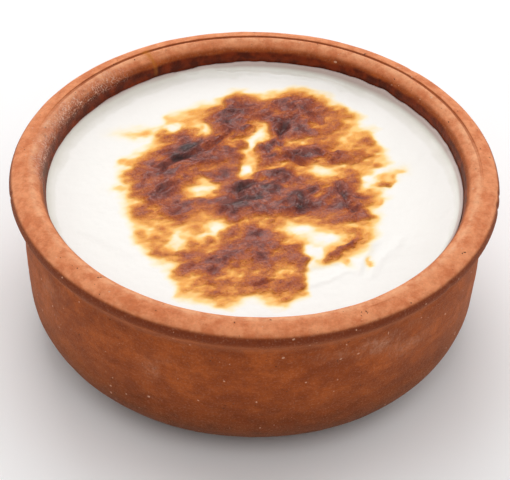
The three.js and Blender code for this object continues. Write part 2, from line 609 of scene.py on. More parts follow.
    def build(self) -> bpy.types.Object:
        """Turns the profile into a closed mesh and keeps its finish attributes on the points, painted light
        and shade among them.

        Each point is the profile point moved along its normal by the relief, turned by its
        angle, then moved to its thrown place.

        Returns:
            The bowl's object.
        """
        profile = self.profile()
        slope = np.gradient(profile, axis=0)
        normal = np.column_stack([slope[:, 1], -slope[:, 0]])
        normal /= np.linalg.norm(normal, axis=1, keepdims=True)
        angle = np.linspace(0.0, 2 * np.pi, self.turn_steps, endpoint=False)[None, :]
        radius, z = profile[:, :1], profile[:, 1:]
        base = [np.broadcast_to(v, (len(profile), self.turn_steps))
                for v in (radius * np.cos(angle), radius * np.sin(angle), z)]
        turn = np.broadcast_to(angle, base[0].shape)
        relief = self.relief(*base, turn)
        seen = (z > 0.01) & ((radius > self.cavity.level_radius - 0.5) | (normal[:, :1] > 0.0))
        relief = relief * seen
        radius = radius + relief * normal[:, :1]
        height = z + relief * normal[:, 1:]
        grooved = self.grooved(profile[:, :1], z, turn)
        filled = (grooved > 0.0) * (1.0 - grooved)
        height = height + filled * (self.throwing.height - z)
        points = self.throwing.place(radius * np.cos(angle), radius * np.sin(angle), height)
        poles = self.throwing.place(
            np.zeros(2), np.zeros(2), np.array([0.0, self.cavity.floor_thickness]))
        rows, columns = len(profile), self.turn_steps
        last = (rows - 1) * columns
        column = np.arange(columns)
        after = (column + 1) % columns
        under = np.column_stack([np.full(columns, rows * columns), after, column])
        floor = np.column_stack([np.full(columns, rows * columns + 1), last + column, last + after])
        wide = np.broadcast_to(radius, turn.shape)
        crest = int(np.argmin(np.abs(profile[:, 0] - self.groove_radius)
                              + np.abs(profile[:, 1] - self.throwing.height)))
        inner = (np.arange(rows) >= crest)[:, None]
        upward = normal[:, 1:] * (z > self.neck_height)
        values = {
            "glaze": self.glaze(wide, height, turn) * inner,
            "wet": self.wetness(wide, height, turn) * inner,
            "drip": self.dripped(wide, height, turn) * (z > self.neck_height),
            # upward-facing lip: paler from wear and from painted top light
            "worn_and_lit": np.maximum(eased(upward, 0.46, 0.76), filled),
            # painted shade on the outer face of the lip under its crown
            "painted_lip_shade": np.broadcast_to(self.painted_lip_shading(profile, normal), turn.shape),
            # crest of the bead: rubbing plus a painted highlight
            "crest": np.broadcast_to(self.crest(profile), turn.shape),
            # groove depth share, also used for painted shade in the groove
            "grooved": grooved,
            # painted shade: the outer wall darker towards the foot
            "low": (1.0 - eased(height, 0.0, self.belly_height - 2.0)) * ~inner,
            "scuffed": self.scuffed(height, turn) * ~inner,
        }
        values = {key: np.append(value.ravel(), (0.0, 1.0)) for key, value in values.items()}
        return mesh_piece("terracotta_bowl", np.vstack([points, poles]),
                          [ring_quads(rows, columns), under, floor], values)


@dataclass(frozen=True)
class Spot:
    """An oval patch of the skin: its middle, half length, half width, turn and strength."""

    x: float
    y: float
    length: float
    width: float
    turn: float
    strength: float

    def cover(self, x: np.ndarray, y: np.ndarray, sharpness: float) -> np.ndarray:
        """Strength times a flat-topped bell of the distance in half lengths and half widths.

        Args:
            x: Sideways coordinates.
            y: Coordinates to the back.
            sharpness: Power of the squared distance; higher is flatter with a harder edge.

        Returns:
            The cover at each point.
        """
        angle = math.radians(self.turn)
        along = (x - self.x) * math.cos(angle) + (y - self.y) * math.sin(angle)
        across = (y - self.y) * math.cos(angle) - (x - self.x) * math.sin(angle)
        distance = (along / self.length) ** 2 + (across / self.width) ** 2
        return self.strength * np.exp(-0.7 * distance**sharpness)


@dataclass(frozen=True)
class Fold:
    """A crease of the browned skin from one point to another, bowed sideways."""

    start: tuple[float, float]
    stop: tuple[float, float]
    width: float
    depth: float
    bow: float = 0.0

    def trough(self, x: np.ndarray, y: np.ndarray) -> np.ndarray:
        """The crease's depth, as a bell curve of the distance beside it."""
        beside, strength = self.measures(x, y)
        return strength * self.depth * np.exp(-(beside**2))

    def ridge(self, x: np.ndarray, y: np.ndarray) -> np.ndarray:
        """The height of the lip that rises on the crease's left, as a wider bell curve."""
        beside, strength = self.measures(x, y)
        return 0.8 * strength * self.depth * np.exp(-((beside - 1.8) ** 2 / 1.6))

    def measures(self, x: np.ndarray, y: np.ndarray) -> tuple[np.ndarray, np.ndarray]:
        """How far each point lies beside the crease, and how strong the crease is there.

        The crease is a straight line bowed by a parabola; it fades at both ends.

        Args:
            x: Sideways coordinates.
            y: Coordinates to the back.

        Returns:
            Signed distance to the left of the crease in widths, and strength from 0 to 1.
        """
        start, stop = np.array(self.start), np.array(self.stop)
        length = float(np.linalg.norm(stop - start))
        along_axis = (stop - start) / length
        along = ((x - start[0]) * along_axis[0] + (y - start[1]) * along_axis[1]) / length
        beside = (y - start[1]) * along_axis[0] - (x - start[0]) * along_axis[1]
        beside = beside - 4.0 * self.bow * along * (1.0 - along)
        strength = eased(along, -0.12, 0.15) * eased(-along, -1.12, -0.85)
        return beside / self.width, strength


@dataclass(frozen=True)
class BrownedSkin:
    """How far each point of the pudding's skin is baked, and how it has folded and blistered.

    Distances are millimetres from the middle of the pudding.
    """

    outline: tuple[tuple[float, float], ...] = (
        (0, 31.0), (11, 28.4), (20, 34.6), (36, 37.4), (53, 40.8), (70, 42.8), (77, 43.0),
        (88, 39.6), (97, 40.2), (107, 36.4), (128, 36.8), (141, 32.4), (148, 31.0), (160, 34.2),
        (174, 32.0), (190, 31.2), (211, 33.8), (237, 36.6), (245, 42.6), (263, 42.0), (270, 39.8),
        (280, 42.4), (289, 40.4), (294, 34.6), (299, 29.6), (304, 27.4), (311, 31.8), (324, 33.8),
        (341, 31.0),
    )
    pale: tuple[Spot, ...] = (
        Spot(0.8, 24.0, 5.2, 2.5, 84, 0.84),
        Spot(-0.8, 16.4, 4.4, 1.7, 85, 0.68),
        Spot(-1.7, 7.6, 2.9, 2.0, 90, 0.98),
        Spot(16.8, 8.9, 5.6, 2.8, -6, 0.86),
        Spot(-12.4, 0.3, 3.3, 2.8, 0, 0.9),
        Spot(-13.0, 4.4, 2.0, 1.4, 0, 0.55),
        Spot(-9.9, -15.7, 4.1, 2.3, 52, 0.92),
        Spot(-18.6, -19.4, 4.6, 2.3, 84, 0.82),
        Spot(-13.6, 24.8, 3.0, 1.8, -66, 0.8),
        Spot(-20.6, 25.0, 2.4, 1.7, 10, 0.8),
        Spot(17.8, -17.6, 4.6, 3.1, 40, 1.0),
        Spot(11.2, -15.0, 4.2, 2.3, 5, 0.84),
        Spot(14.6, -22.8, 2.4, 2.0, -30, 0.9),
        Spot(28.2, 5.6, 2.2, 1.6, 100, 1.0),
        Spot(24.0, -11.6, 2.6, 1.2, 10, 0.55),
        Spot(5.4, 9.8, 2.6, 1.3, 20, 0.45),
        Spot(-7.4, 9.4, 3.2, 1.1, 20, 0.35),
        Spot(-16.8, -3.4, 2.4, 1.2, 25, 0.45),
        Spot(-2.2, -12.4, 2.8, 1.4, 95, 0.35),
        Spot(-14.0, -12.0, 6.4, 2.4, 12, 0.46),
        Spot(9.0, -12.0, 8.0, 2.4, 4, 0.44),
        Spot(-26.0, -13.0, 8.0, 3.6, 112, 0.34),
        Spot(-18.4, 28.4, 5.0, 2.4, 25, 0.32),
        Spot(24.0, 20.8, 7.4, 5.0, 62, 0.34),
        Spot(22.6, 30.6, 4.0, 1.8, -30, 0.3),
        Spot(-14.0, -36.0, 5.4, 3.6, 10, 0.28),
        Spot(8.6, -37.0, 5.4, 2.4, 15, 0.24),
        Spot(10.0, -28.6, 4.0, 2.0, 0, 0.26),
        Spot(-12.0, -24.6, 2.0, 3.0, 0, 0.24),
        Spot(-24.4, 13.2, 3.0, 1.4, 15, 0.3),
    )
    dark: tuple[Spot, ...] = (
        Spot(-14.6, 17.0, 9.4, 1.6, 44, 0.16),
        Spot(-13.0, 13.6, 11.0, 5.6, 40, 0.25),
        Spot(-22.6, 2.0, 8.0, 4.4, 62, 0.18),
        Spot(-18.6, 18.0, 4.6, 3.6, 20, 0.18),
        Spot(-17.6, 22.3, 2.2, 1.8, 20, 0.12),
        Spot(-5.2, 23.8, 4.4, 2.2, -50, 0.16),
        Spot(-4.2, 30.2, 7.8, 5.6, -10, 0.24),
        Spot(4.8, 30.4, 8.0, 4.2, -15, 0.18),
        Spot(9.8, 34.0, 3.2, 5.0, -10, 0.12),
        Spot(9.6, 24.0, 5.8, 7.0, 0, 0.22),
        Spot(6.6, 21.8, 4.0, 2.2, 85, 0.22),
        Spot(3.8, 15.6, 3.6, 2.0, 105, 0.2),
        Spot(8.6, 14.0, 7.0, 3.6, -22, 0.24),
        Spot(17.0, 15.2, 4.4, 2.0, -55, 0.17),
        Spot(20.4, 13.6, 3.0, 1.8, 35, 0.13),
        Spot(23.2, 9.2, 2.6, 2.2, 0, 0.14),
        Spot(7.0, 7.0, 5.6, 3.4, 50, 0.24),
        Spot(2.6, 1.4, 8.6, 5.0, 10, 0.24),
        Spot(-2.2, 0.6, 4.4, 3.0, 60, 0.14),
        Spot(2.0, -6.0, 8.0, 5.0, 10, 0.22),
        Spot(13.0, -3.6, 5.0, 2.4, 60, 0.13),
        Spot(17.2, -3.0, 6.8, 5.6, 0, 0.2),
        Spot(22.6, -1.0, 7.4, 2.4, -56, 0.2),
        Spot(-12.0, -5.6, 3.6, 2.2, 0, 0.18),
        Spot(-18.8, -7.6, 4.2, 3.0, 20, 0.14),
        Spot(-6.2, -8.0, 3.8, 1.9, 55, 0.18),
        Spot(-8.4, 5.8, 4.0, 2.0, 25, 0.14),
        Spot(1.4, -11.0, 2.8, 5.0, 0, 0.14),
        Spot(0.6, -17.4, 4.6, 4.0, 40, 0.12),
        Spot(-5.8, -21.8, 5.6, 4.6, -10, 0.2),
        Spot(-5.6, -26.4, 3.0, 3.2, 0, 0.14),
        Spot(4.8, -24.2, 5.6, 3.6, -8, 0.18),
        Spot(-9.0, -30.4, 4.6, 2.8, -20, 0.13),
        Spot(3.6, -32.4, 6.0, 2.8, 26, 0.14),
        Spot(-7.6, -35.4, 3.0, 4.4, 0, 0.11),
        Spot(-16.0, -26.0, 4.2, 2.4, -30, 0.13),
    )
    flecks: tuple[Spot, ...] = (
        Spot(32.6, 6.4, 3.6, 1.3, 50, 0.23),
        Spot(30.6, 4.6, 1.8, 0.8, 10, 0.16),
        Spot(28.3, -25.2, 1.6, 0.6, 95, 0.2),
        Spot(22.4, -25.4, 1.8, 0.8, -40, 0.18),
        Spot(20.8, -21.6, 4.2, 1.3, 44, 0.38),
        Spot(24.6, -16.4, 3.6, 1.5, 58, 0.42),
        Spot(-27.4, 22.4, 4.4, 1.7, 4, 0.15),
        Spot(30.2, -3.0, 2.6, 0.8, 95, 0.14),
        Spot(-31.8, 0.2, 2.6, 1.2, 0, 0.15),
    )
    folds: tuple[Fold, ...] = (
        Fold((-22.4, 7.6), (-7.6, 21.8), 0.6, 0.55, 0.3),
        Fold((-9.4, 25.0), (-2.4, 20.2), 0.9, -0.4),
        Fold((4.2, 14.6), (12.4, 11.0), 0.55, 0.4),
        Fold((3.0, 19.0), (3.4, 13.4), 0.7, 0.35),
        Fold((4.6, 26.6), (10.6, 30.6), 0.8, 0.35),
        Fold((6.2, 20.0), (8.6, 26.2), 0.8, 0.4, 0.5),
        Fold((10.2, -7.2), (15.6, 1.6), 0.8, 0.4, 0.8),
        Fold((19.4, 4.4), (26.4, -5.6), 0.7, 0.45, -0.8),
        Fold((15.2, 17.6), (18.4, 12.6), 0.7, 0.35),
        Fold((18.4, 12.6), (22.0, 15.6), 0.7, 0.3),
        Fold((0.6, -34.2), (4.8, -31.8), 0.4, 0.4),
        Fold((-25.0, -4.6), (-16.6, 4.0), 0.8, 0.35),
        Fold((4.2, 5.2), (10.0, 9.4), 0.7, 0.35, 0.4),
        Fold((-4.8, 0.2), (1.6, 3.4), 0.8, 0.3),
    )
    streak_turn: float = math.radians(24.0)
    streak_stretch: float = 1.6
    ragged: float = 2.0
    ragged_edge: Grain = Grain(41, 4.6, 3)
    ragged_fringe: Grain = Grain(43, 1.8, 2, 0.45)
    edge: Span = (-2.6, 4.8)
    ground: float = 0.35
    mottle: Grain = Grain(51, 5.0, 3, 1.6)
    blotch: Grain = Grain(53, 2.6, 2, 1.6)
    fine: Grain = Grain(55, 1.2, 3)
    ground_breaks: tuple[float, float, float] = (0.36, 0.34, 0.3)
    dark_breaks: tuple[float, float, float] = (0.35, 0.4, 0.3)
    spot_push: Grain = Grain(57, 2.6, 3)
    push_sideways: float = 1.6
    push_back: float = 1.2
    dark_share: float = 0.8
    dark_sharpness: float = 1.3
    pale_sharpness: float = 1.1
    fleck_sharpness: float = 1.0
    # darkening in the creases: burning plus painted shade
    crease_burn_and_shade_share: float = 0.26
    wander: Grain = Grain(47, 6.0, 3, 1.6)
    lumps: Grain = Grain(61, 6.0, 2, 0.6)
    wrinkles: Grain = Grain(63, 4.2, 2, 2.2)
    wrinkle_height: float = 0.85
    pimples: Grain = Grain(65, 1.6, 3, 0.26)
    fold_height: float = 1.7
    thickness: float = 0.15

    def streaked(self, x: np.ndarray, y: np.ndarray) -> tuple[np.ndarray, np.ndarray]:
        """Coordinates along the streaks of the skin, squeezed, and across them."""
        along = x * math.cos(self.streak_turn) + y * math.sin(self.streak_turn)
        across = y * math.cos(self.streak_turn) - x * math.sin(self.streak_turn)
        return along / self.streak_stretch, across

    def warped(self, x: np.ndarray, y: np.ndarray) -> tuple[np.ndarray, np.ndarray]:
        """Points pushed about by noise, further sideways than to the back, so edges are ragged.

        Args:
            x: Sideways coordinates.
            y: Coordinates to the back.

        Returns:
            The pushed coordinates.
        """
        along, across = self.streaked(x, y)
        sideways, backwards = (
            self.ragged * (self.ragged_edge.at(x / 1.4, y, level)
                           + self.ragged_fringe.at(along, across, level))
            for level in (0.0, 20.0)
        )
        return x + sideways, y + 0.75 * backwards

    def within(self, x: np.ndarray, y: np.ndarray) -> np.ndarray:
        """How far each point lies inside the browned outline, in millimetres.

        The outline is a reach for each direction, blended between the named directions.

        Args:
            x: Sideways coordinates.
            y: Coordinates to the back.

        Returns:
            Depth inside, negative outside.
        """
        direction = np.degrees(np.arctan2(y, x)) % 360.0
        named = np.array(self.outline, float)
        reach = np.interp(direction, named[:, 0], named[:, 1], period=360.0)
        return reach - np.hypot(x, y)

    def baking(self, x: np.ndarray, y: np.ndarray) -> np.ndarray:
        """How far the skin is baked, from 0 for white milk to 1 for burnt black.

        Inside the outline it climbs over the ragged edge to a middle brown. Mottling and streaks break that
        up, the dark spots add to it, the creases add burning and painted shade, and the pale spots take it
        away. The flecks lie on top, outside the outline as well.

        Args:
            x: Sideways coordinates.
            y: Coordinates to the back.

        Returns:
            The baking at each point.
        """
        wx, wy = self.warped(x, y)
        body = self.ground * eased(self.within(wx, wy), *self.edge)
        along, across = self.streaked(x, y)
        mottle = np.tanh(self.mottle.at(x / 1.2, y))
        blotch = np.tanh(self.blotch.at(along, across))
        fine = self.fine.at(along, across)
        ground, broken = (
            1.0 + shares[0] * mottle + shares[1] * blotch + shares[2] * fine
            for shares in (self.ground_breaks, self.dark_breaks)
        )
        inside = eased(body, 0.09, 0.33)
        wx = 0.5 * (x + wx) + self.push_sideways * self.spot_push.at(x, y)
        wy = 0.5 * (y + wy) + self.push_back * self.spot_push.at(x, y, 20.0)
        dark = sum(spot.cover(wx, wy, self.dark_sharpness) for spot in self.dark)
        baked = body * ground + self.dark_share * inside * broken * dark
        rippled = self.rippled(x, y)
        trough = sum(fold.trough(*rippled) for fold in self.folds)
        # creases darkened: part burning, part painted shade
        baked = baked + self.crease_burn_and_shade_share * inside * np.maximum(trough, 0.0)
        pale = 1.0 - sum(spot.cover(wx, wy, self.pale_sharpness) for spot in self.pale)
        baked = baked * np.clip(pale, 0.0, 1.0)
        flecks = sum(spot.cover(wx, wy, self.fleck_sharpness) for spot in self.flecks)
        return np.clip(np.maximum(baked, flecks * (1.0 + 0.6 * blotch)), 0.0, 1.0)

    def rippled(self, x: np.ndarray, y: np.ndarray) -> tuple[np.ndarray, np.ndarray]:
        """Points pushed gently by noise, so that the creases wander."""
        return x + self.wander.at(x, y), y + self.wander.at(x, y, 30.0)

    def relief(self, x: np.ndarray, y: np.ndarray, baked: np.ndarray) -> np.ndarray:
        """Height of the browned skin over the smooth one, in millimetres.

        Each crease is a trough with a lip on its left, and the burnt skin between is wrinkled
        by noise whose ridges come from the sign change of the noise.

        Args:
            x: Sideways coordinates.
            y: Coordinates to the back.
            baked: How far each point is baked.

        Returns:
            The relief at each point.
        """
        crust = eased(baked, 0.15, 0.65)
        along, across = self.streaked(x, y)
        wrinkles = self.wrinkle_height * (1.0 - np.abs(self.wrinkles.at(along, across)))
        relief = crust * (self.lumps.at(x, y) + wrinkles + self.pimples.at(along, across))
        rippled = self.rippled(x, y)
        folds = sum(fold.ridge(*rippled) - fold.trough(*rippled) for fold in self.folds)
        relief = relief + self.fold_height * folds * eased(baked, 0.1, 0.4)
        return relief + self.thickness * eased(baked, 0.08, 0.5)


@dataclass(frozen=True)
class Pudding:
    """The set pudding: a skin over a body that fills the cavity up to its level."""

    throwing: Throwing
    cavity: Cavity
    skin: BrownedSkin
    clearance: float = 0.3
    into_wall: float = 0.35
    side_steps: int = 290
    swell: float = 0.5
    swell_radius: float = 34.0
    swell_back: float = 4.0
    film_side: float = math.radians(46.0)
    film_least: float = 0.25
    film_most: float = 1.3
    film_radius: float = 50.0
    film_width: float = 1.5
    film_waves: Grain = Grain(73, 9.0, 3, 0.5)
    film_nibs: Grain = Grain(71, 4.6, 2, 0.7)
    meniscus_height: float = 0.3
    meniscus_width: float = 1.6
    thin_front: float = 1.6
    thin_back: float = 2.8
    thin_patches: Grain = Grain(83, 5.0, 4, 0.3)
    swells: Grain = Grain(81, 14.0, 4, 0.2)
    wrinkles: tuple[Fold, ...] = (
        Fold((-20.0, 47.2), (-8.0, 48.6), 0.7, -0.4, 0.3),
        Fold((-10.0, 48.2), (14.0, 46.4), 0.8, -0.55, 0.5),
        Fold((12.0, 46.8), (24.0, 42.4), 0.6, -0.35, 0.2),
        Fold((11.0, -30.5), (20.5, -26.5), 1.0, 0.22),
        Fold((13.0, -33.5), (24.0, -29.0), 0.9, -0.18),
        Fold((25.0, -30.0), (30.5, -17.0), 1.0, -0.22, 0.6),
        Fold((29.5, -31.0), (36.0, -16.0), 1.0, -0.18, 0.6),
        Fold((28.0, -20.0), (27.4, -8.0), 0.9, -0.3, -0.7),
        Fold((-40.0, 8.0), (-30.0, 22.0), 1.6, 0.1, -1.5),
        Fold((-42.0, -18.0), (-30.0, -30.0), 1.8, 0.1, 1.2),
    )

    def disc(self) -> tuple[np.ndarray, np.ndarray]:
        """A square grid pressed into a disc of radius 1.

        The larger coordinate is the radius, and the smaller one over it is the share of an
        eighth of a turn, so cells stay nearly even.

        Returns:
            Sideways and backward coordinates of the grid.
        """
        side = np.linspace(-1.0, 1.0, self.side_steps + 1)
        across, up = np.meshgrid(side, side)
        wide = np.abs(across) > np.abs(up)
        larger = np.where(wide, across, up)
        smaller = np.where(wide, up, across)
        share = np.divide(smaller, larger, out=np.zeros_like(larger), where=larger != 0.0)
        turn = np.where(wide, share * np.pi / 4.0, np.pi / 2.0 - share * np.pi / 4.0)
        return larger * np.cos(turn), larger * np.sin(turn)

    def film_height(self, angle: np.ndarray) -> np.ndarray:
        """How high the milk film stands on the wall over the level, by angle.

        It is highest at the back right, and noise gives it nibs.

        Args:
            angle: Angles about the axis.

        Returns:
            Heights in millimetres.
        """
        side = 0.5 + 0.5 * np.cos(angle - self.film_side)
        x, y = self.film_radius * np.cos(angle), self.film_radius * np.sin(angle)
        nibs = np.maximum(self.film_nibs.at(x, y), 0.0)
        return self.film_least + side**1.5 * (self.film_most + self.film_waves.at(x, y) + nibs)

    def skin_height(self, x: np.ndarray, y: np.ndarray) -> dict[str, np.ndarray]:
        """Heights of the skin over its level, with its finish attributes.

        Args:
            x: Sideways coordinates, in millimetres.
            y: Coordinates to the back, in millimetres.

        Returns:
            By name: the height, the baking, the share of thin film with painted shade near the wall and in
                the wrinkles, and the share of its edge on the wall.
        """
        radius, angle = np.hypot(x, y), np.arctan2(y, x)
        to_wall = self.cavity.level_radius - radius
        climb = eased(-to_wall, -self.film_width, 0.2)
        film = self.film_height(angle) * climb**2
        meniscus = self.meniscus_height * np.exp(-np.maximum(to_wall, 0.0) / self.meniscus_width)
        rippled = self.skin.rippled(x, y)
        marks = -sum(fold.trough(*rippled) for fold in self.wrinkles)
        baked = self.skin.baking(x, y)
        from_middle = np.hypot(x, y - self.swell_back)
        swell = self.swell * np.exp(-((from_middle / self.swell_radius) ** 4))
        skin = swell + self.swells.at(x, y) + marks + self.skin.relief(x, y, baked)
        height = film + meniscus + skin
        # grey near the wall: partly thin translucent film, partly painted shade from the wall; wrinkle
        # troughs add painted shade
        reach = self.thin_front + self.thin_back * eased(np.sin(angle), -0.5, 0.8)
        share = 1.0 - to_wall / reach + self.thin_patches.at(x, y)
        thin = 0.45 * eased(share, 0.0, 0.3) + 0.55 * eased(share, 0.3, 1.0)
        shaded = np.clip(thin - 0.3 * np.minimum(marks, 0.0), 0.0, 1.0)
        return {"height": height, "baked": baked, "film": shaded, "edge": eased(film, 0.15, 0.9)}

    def build(self) -> bpy.types.Object:
        """Makes the skin from the disc, and closes it with a body that follows the cavity.

        Returns:
            The pudding's object.
        """
        reach = self.cavity.level_radius + self.into_wall
        unit_x, unit_y = self.disc()
        x, y = unit_x * reach, unit_y * reach
        made = self.skin_height(x, y)
        top = self.throwing.place(x, y, self.cavity.level + made["height"])
        count = self.side_steps + 1
        index = np.arange(count * count).reshape(count, count)
        quads = np.stack([index[:-1, :-1], index[:-1, 1:], index[1:, 1:], index[1:, :-1]], axis=-1)
        edge = np.concatenate([index[0, :-1], index[:-1, -1], index[-1, :0:-1], index[:0:-1, 0]])
        direction = np.arctan2(y.ravel()[edge], x.ravel()[edge])[None, :]
        section = self.cavity.points(self.clearance, 8)[-2::-1]
        radius, height = section[:, :1], np.broadcast_to(section[:, 1:], (len(section), len(edge)))
        body = self.throwing.place(radius * np.cos(direction), radius * np.sin(direction), height)
        pole = self.throwing.place(np.zeros(1), np.zeros(1), section[-1:, 1])
        rings = np.vstack([edge[None, :], count * count + np.arange(len(body)).reshape(len(section), -1)])
        ahead = np.roll(rings, -1, axis=1)
        sides = np.stack([rings[:-1], rings[1:], ahead[1:], ahead[:-1]], axis=-1).reshape(-1, 4)
        under = np.column_stack([rings[-1], np.full(len(edge), count * count + len(body)), ahead[-1]])
        values = {
            key: np.append(made[key].ravel(), np.zeros(len(body) + 1))
            for key in ("baked", "film", "edge")
        }
        return mesh_piece("rice_pudding", np.vstack([top, body, pole]),
                          [quads.reshape(-1, 4), sides, under], values)


class ShaderGraph:
    """A material's node graph with one Principled shader, and short ways to add to it."""

    def __init__(self, name: str) -> None:
        """Starts an empty material with a shader and an output."""
        self.material = bpy.data.materials.new(name)
        self.material.use_nodes = True
        self.nodes = self.material.node_tree.nodes
        self.nodes.clear()
        output = self.nodes.new("ShaderNodeOutputMaterial")
        self.shader = self.nodes.new("ShaderNodeBsdfPrincipled")
        self.link(self.shader.outputs["BSDF"], output.inputs["Surface"])
        self.place = self.nodes.new("ShaderNodeTexCoord").outputs["Object"]

    def link(self, source: Socket, target: Socket) -> None:
        """Links one socket to another."""
        self.material.node_tree.links.new(source, target)

    def value(self, name: str) -> Socket:
        """Reads a number kept on the mesh.

        Args:
            name: Name of the attribute.

        Returns:
            The socket that gives it.
        """
        node = self.nodes.new("ShaderNodeAttribute")
        node.attribute_name = name
        return node.outputs["Fac"]

    def stretched(self, scale: Sequence[float]) -> Socket:
        """Scales the object's coordinates along each axis.

        Args:
            scale: Factor for each axis.

        Returns:
            The socket with the scaled coordinates.
        """
        node = self.nodes.new("ShaderNodeMapping")
        node.inputs["Scale"].default_value = scale
        self.link(self.place, node.inputs["Vector"])
        return node.outputs["Vector"]

    def noise(self, step: float, detail: float, rough: float, place: Socket | None = None) -> Socket:
        """Adds solid noise.

        Args:
            step: Width of the widest lumps, in millimetres.
            detail: Number of finer layers.
            rough: Strength of each finer layer.
            place: Coordinates, or the object's own.

        Returns:
            The socket with noise from 0 to 1.
        """
        node = self.nodes.new("ShaderNodeTexNoise")
        node.inputs["Scale"].default_value = 1.0 / (step * MM)
        node.inputs["Detail"].default_value = detail
        node.inputs["Roughness"].default_value = rough
        self.link(place or self.place, node.inputs["Vector"])
        return node.outputs["Fac"]

    def ranged(
        self, source: Socket, low: float, high: float, to_low: float = 0.0, to_high: float = 1.0
    ) -> Socket:
        """Maps a range of numbers onto another, smoothly and clamped.

        Args:
            source: Socket with the numbers.
            low: Number that becomes to_low.
            high: Number that becomes to_high.
            to_low: First end of the new range.
            to_high: Second end of the new range.

        Returns:
            The socket with the mapped numbers.
        """
        node = self.nodes.new("ShaderNodeMapRange")
        node.interpolation_type = "SMOOTHSTEP"
        for key, number in (("From Min", low), ("From Max", high), ("To Min", to_low), ("To Max", to_high)):
            node.inputs[key].default_value = number
        self.link(source, node.inputs["Value"])
        return node.outputs["Result"]

    def maths(self, operation: str, first: Socket | float, second: Socket | float) -> Socket:
        """Combines two numbers.

        Args:
            operation: Blender's name of the operation.
            first: Socket or number.
            second: Socket or number.

        Returns:
            The socket with the result.
        """
        node = self.nodes.new("ShaderNodeMath")
        node.operation = operation
        for socket, value in zip(node.inputs, (first, second)):
            if isinstance(value, (int, float)):
                socket.default_value = value
            else:
                self.link(value, socket)
        return node.outputs["Value"]

    def times(self, first: Socket, second: Socket | float) -> Socket:
        """Multiplies two numbers."""
        return self.maths("MULTIPLY", first, second)

    def fixed(self, settings: Sequence[Setting]) -> None:
        """Sets constants on the shader, by the names of its inputs."""
        for key, setting in settings:
            self.shader.inputs[key].default_value = setting

    def mixed(self, share: Socket | float, first: Socket | Colour, second: Socket | Colour) -> Socket:
        """Mixes two colours.

        Args:
            share: Share of the second one.
            first: Socket or linear colour.
            second: Socket or linear colour.

        Returns:
            The socket with the mixed colour.
        """
        node = self.nodes.new("ShaderNodeMix")
        node.data_type = "RGBA"
        if isinstance(share, (int, float)):
            node.inputs[0].default_value = share
        else:
            self.link(share, node.inputs[0])
        for socket, value in zip(node.inputs[6:8], (first, second)):
            if isinstance(value, tuple):
                socket.default_value = (*value, 1.0)
            else:
                self.link(value, socket)
        return node.outputs[2]

    def ramp(self, source: Socket, stops: Sequence[tuple[float, Colour]]) -> Socket:
        """Turns numbers into colours along a ramp.

        Args:
            source: Socket with numbers from 0 to 1.
            stops: Position and linear colour of each stop, in order.

        Returns:
            The socket with the colour.
        """
        node = self.nodes.new("ShaderNodeValToRGB")
        elements = node.color_ramp.elements
        while len(elements) < len(stops):
            elements.new(0.5)
        for element, (position, colour) in zip(elements, stops):
            element.position = position
            element.color = (*colour, 1.0)
        self.link(source, node.inputs["Fac"])
        return node.outputs["Color"]

    def bump(self, layers: Sequence[tuple[Socket, float]]) -> None:
        """Adds fine relief to the shader, one layer on the other.

        Args:
            layers: For each layer, the socket with its height from 0 to 1, and its depth in
                millimetres.
        """
        normal = None
        for height, depth in layers:
            node = self.nodes.new("ShaderNodeBump")
            node.inputs["Strength"].default_value = 1.0
            node.inputs["Distance"].default_value = depth * MM
            self.link(height, node.inputs["Height"])
            if normal is not None:
                self.link(normal, node.inputs["Normal"])
            normal = node.outputs["Normal"]
        self.link(normal, self.shader.inputs["Normal"])


